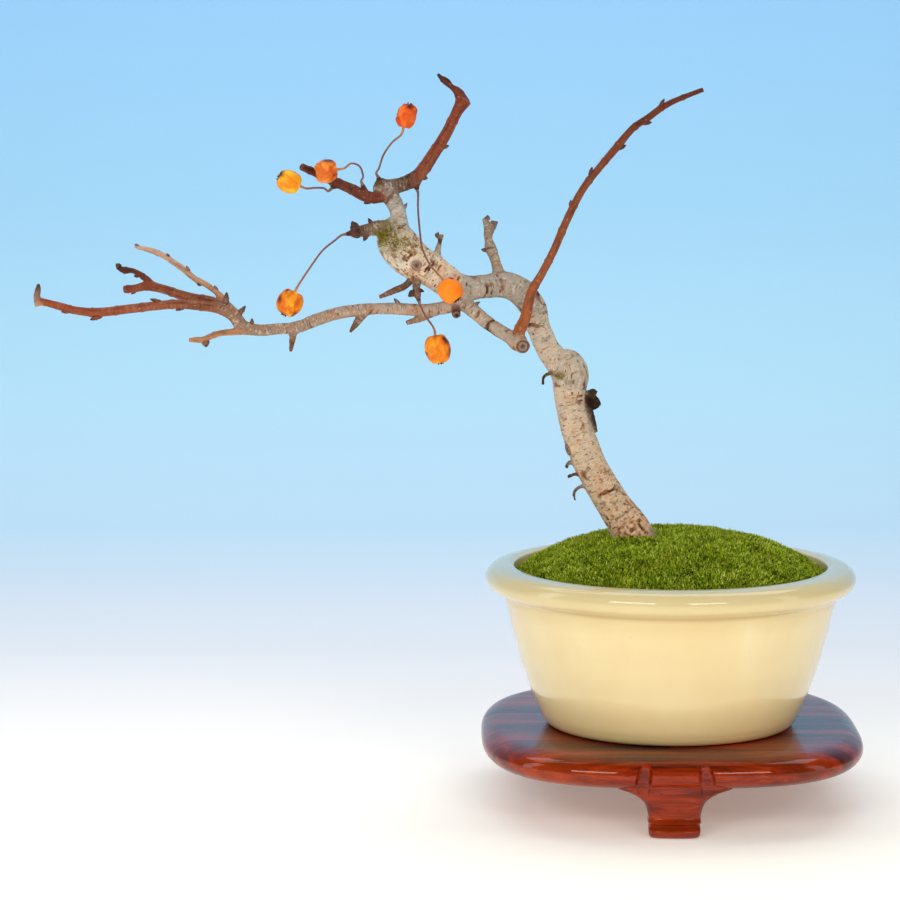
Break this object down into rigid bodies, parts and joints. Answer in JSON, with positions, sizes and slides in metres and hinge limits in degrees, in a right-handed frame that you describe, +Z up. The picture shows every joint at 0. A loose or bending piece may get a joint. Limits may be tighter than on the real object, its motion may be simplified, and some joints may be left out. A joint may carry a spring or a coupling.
{
  "type": "crabapple bonsai",
  "caption": "Bare leaning crabapple bonsai with dried fruits on thin stalks, in a round glazed pot with a mossed top, on a carved wooden stand with feet.",
  "frame": {"origin": "table level below the middle of the whole part's bounding box, left of the pot because the tree leans left", "axes": "+X to the viewer's right, -Y towards the viewer of the tree's front, +Z up"},
  "size_m": [0.334, 0.166, 0.2961],
  "materials": {
    "lacquered_rosewood": "glossy lacquer over red-brown rosewood",
    "cream_glaze": "glossy cream glaze",
    "black_net": "black plastic net",
    "soil": "dark granular soil",
    "moss": "short velvety green moss",
    "crabapple_bark": "grey-brown bark, red-brown on the young twigs",
    "crabapple_skin": "wrinkled orange skin of a dried fruit",
    "dried_stalk": "dark dried stalk"
  },
  "bodies": {
    "root": {"stand": "lacquered_rosewood", "pot": "cream_glaze", "drain_screen": "black_net", "soil": "soil", "moss": "moss", "tree": "crabapple_bark", "crabapple_1": "crabapple_skin", "crabapple_2": "crabapple_skin", "crabapple_3": "crabapple_skin", "crabapple_4": "crabapple_skin", "crabapple_5": "crabapple_skin", "crabapple_6": "crabapple_skin", "stalk_1": "dried_stalk", "stalk_2": "dried_stalk", "stalk_3": "dried_stalk", "stalk_4": "dried_stalk", "stalk_5": "dried_stalk", "stalk_6": "dried_stalk"}
  },
  "joints": []
}
